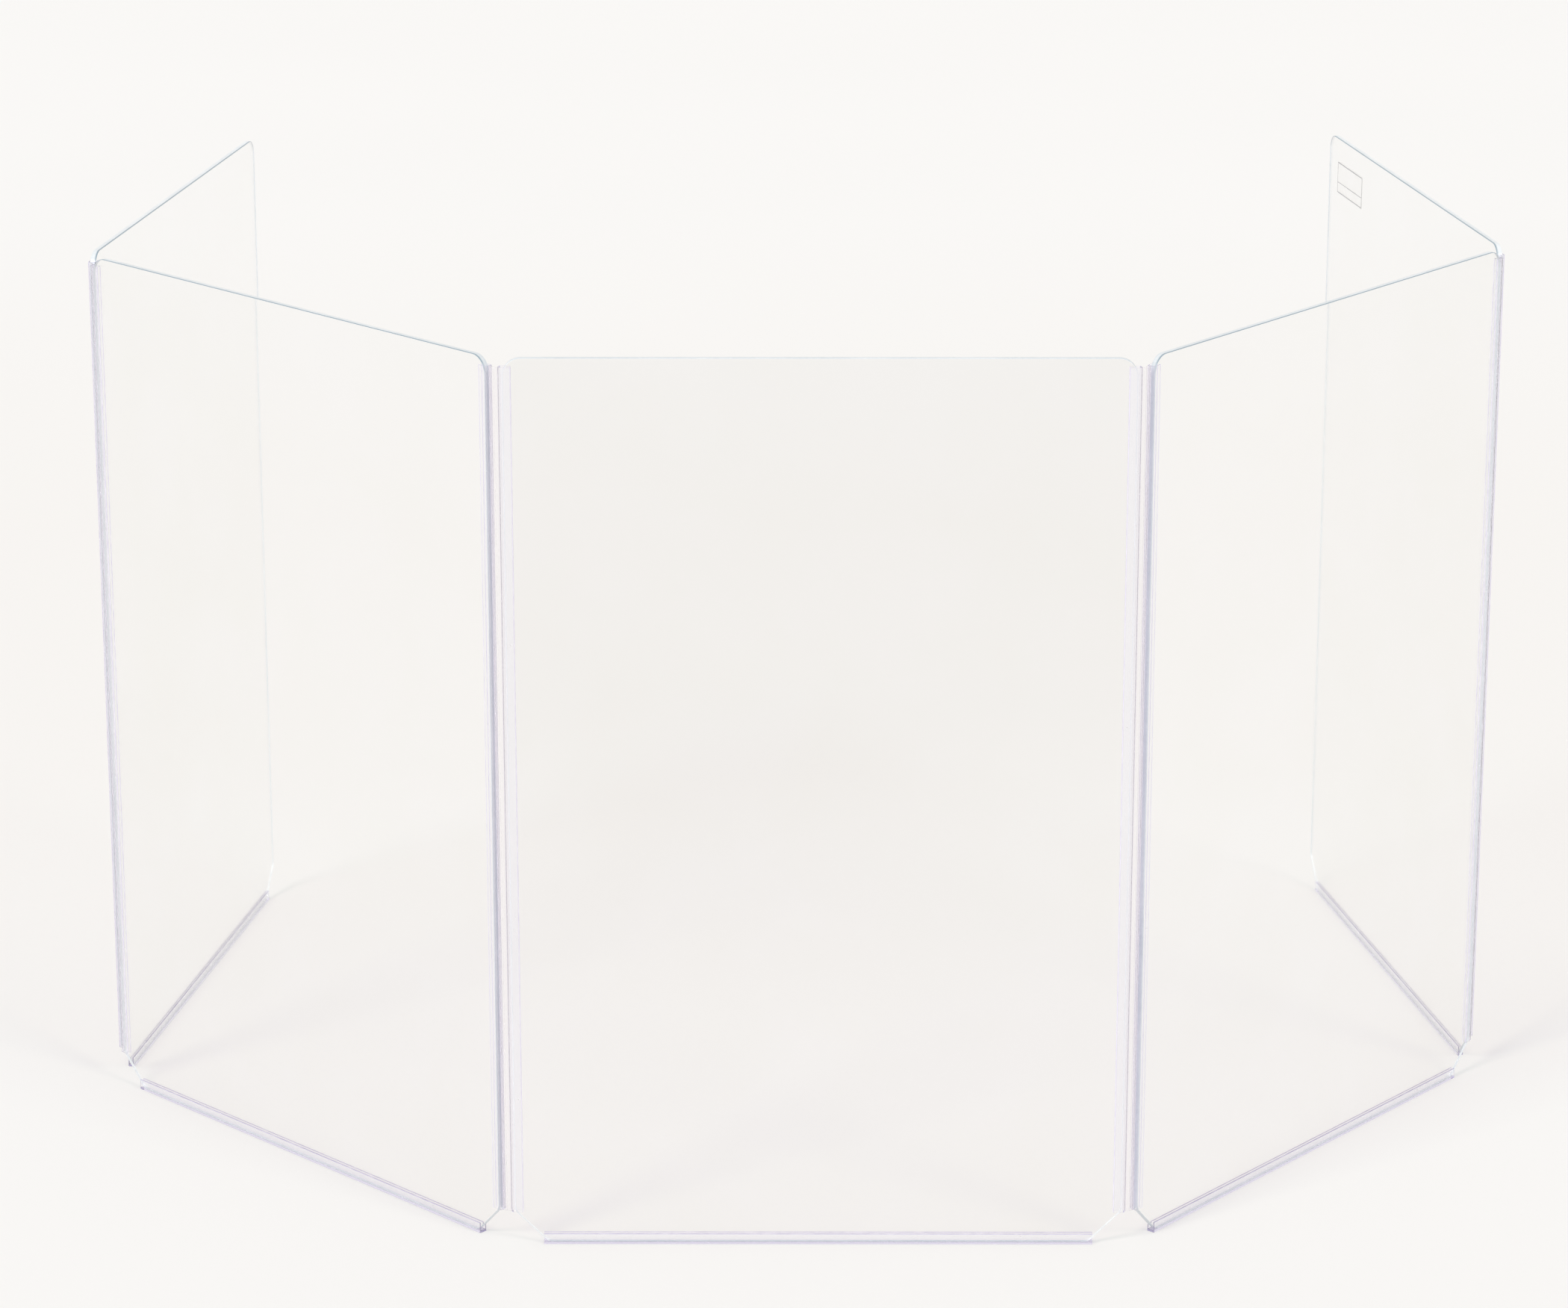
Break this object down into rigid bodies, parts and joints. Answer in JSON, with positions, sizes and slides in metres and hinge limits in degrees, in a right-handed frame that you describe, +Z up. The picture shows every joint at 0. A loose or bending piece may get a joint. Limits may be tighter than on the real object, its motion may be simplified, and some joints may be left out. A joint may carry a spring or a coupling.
{
  "type": "folding desk privacy panel",
  "caption": "Free-standing clear desk screen whose tall acrylic sheets fold on push-on plastic hinge strips into a bay and stand in channel feet.",
  "frame": {"origin": "middle of the underside of the centre sheet's foot, on the desk", "axes": "+X along the centre sheet to the viewer's right, +Y into the bay away from the viewer, +Z up"},
  "size_m": [0.9845, 0.7272, 0.6115],
  "materials": {
    "clear_acrylic": "clear cast acrylic with polished teal edges",
    "rigid_clear_pvc": "clear extruded rigid PVC with a faint violet tint",
    "soft_clear_pvc": "clear extruded flexible PVC",
    "label_film": "clear self-adhesive film, blank"
  },
  "bodies": {
    "centre": {"centre_panel": "clear_acrylic", "centre_foot": "rigid_clear_pvc", "left_inner_hinge_centre_channel": "rigid_clear_pvc", "right_inner_hinge_centre_channel": "rigid_clear_pvc"},
    "left_inner_web": {"left_inner_hinge_web": "soft_clear_pvc"},
    "left_side": {"left_side_panel": "clear_acrylic", "left_side_foot": "rigid_clear_pvc", "left_inner_hinge_side_channel": "rigid_clear_pvc", "left_outer_hinge_side_channel": "rigid_clear_pvc"},
    "left_outer_web": {"left_outer_hinge_web": "soft_clear_pvc"},
    "left_return": {"left_return_panel": "clear_acrylic", "left_return_foot": "rigid_clear_pvc", "left_outer_hinge_return_channel": "rigid_clear_pvc"},
    "right_inner_web": {"right_inner_hinge_web": "soft_clear_pvc"},
    "right_side": {"right_side_panel": "clear_acrylic", "right_side_foot": "rigid_clear_pvc", "right_inner_hinge_side_channel": "rigid_clear_pvc", "right_outer_hinge_side_channel": "rigid_clear_pvc"},
    "right_outer_web": {"right_outer_hinge_web": "soft_clear_pvc"},
    "right_return": {"right_return_panel": "clear_acrylic", "right_return_foot": "rigid_clear_pvc", "right_outer_hinge_return_channel": "rigid_clear_pvc", "blank_label": "label_film"}
  },
  "joints": [
    {"name": "left_inner_fold", "type": "hinge", "parent": "centre", "child": "left_inner_web", "pos_m": [-0.2052, 0, 0.31431], "axis": [0, 0, -1], "range_deg": [-72.5, 27.5], "deforming": ["left_inner_hinge_web"]},
    {"name": "left_inner_fold_far_root", "type": "hinge", "parent": "left_inner_web", "child": "left_side", "pos_m": [-0.21114, 0.00246, 0.31431], "axis": [0, 0, -1], "range_deg": [-72.5, 27.5]},
    {"name": "left_outer_fold", "type": "hinge", "parent": "left_side", "child": "left_outer_web", "pos_m": [-0.50134, 0.29266, 0.31431], "axis": [0, 0, -1], "range_deg": [-117.5, 62.5], "deforming": ["left_outer_hinge_web"]},
    {"name": "left_outer_fold_far_root", "type": "hinge", "parent": "left_outer_web", "child": "left_return", "pos_m": [-0.50325, 0.29871, 0.31431], "axis": [0, 0, -1], "range_deg": [-117.5, 62.5]},
    {"name": "right_inner_fold", "type": "hinge", "parent": "centre", "child": "right_inner_web", "pos_m": [0.2052, 0, 0.31431], "axis": [0, 0, 1], "range_deg": [-75, 25], "deforming": ["right_inner_hinge_web"]},
    {"name": "right_inner_fold_far_root", "type": "hinge", "parent": "right_inner_web", "child": "right_side", "pos_m": [0.21099, 0.0027, 0.31431], "axis": [0, 0, 1], "range_deg": [-75, 25]},
    {"name": "right_outer_fold", "type": "hinge", "parent": "right_side", "child": "right_outer_web", "pos_m": [0.47479, 0.31709, 0.31431], "axis": [0, 0, 1], "range_deg": [-115.5, 64.5], "deforming": ["right_outer_hinge_web"]},
    {"name": "right_outer_fold_far_root", "type": "hinge", "parent": "right_outer_web", "child": "right_return", "pos_m": [0.47639, 0.32327, 0.31431], "axis": [0, 0, 1], "range_deg": [-115.5, 64.5]}
  ],
  "couplings": [
    {"joint": "left_inner_fold_far_root", "follows": "left_inner_fold", "ratio": 1},
    {"joint": "left_outer_fold_far_root", "follows": "left_outer_fold", "ratio": 1},
    {"joint": "right_inner_fold_far_root", "follows": "right_inner_fold", "ratio": 1},
    {"joint": "right_outer_fold_far_root", "follows": "right_outer_fold", "ratio": 1}
  ]
}
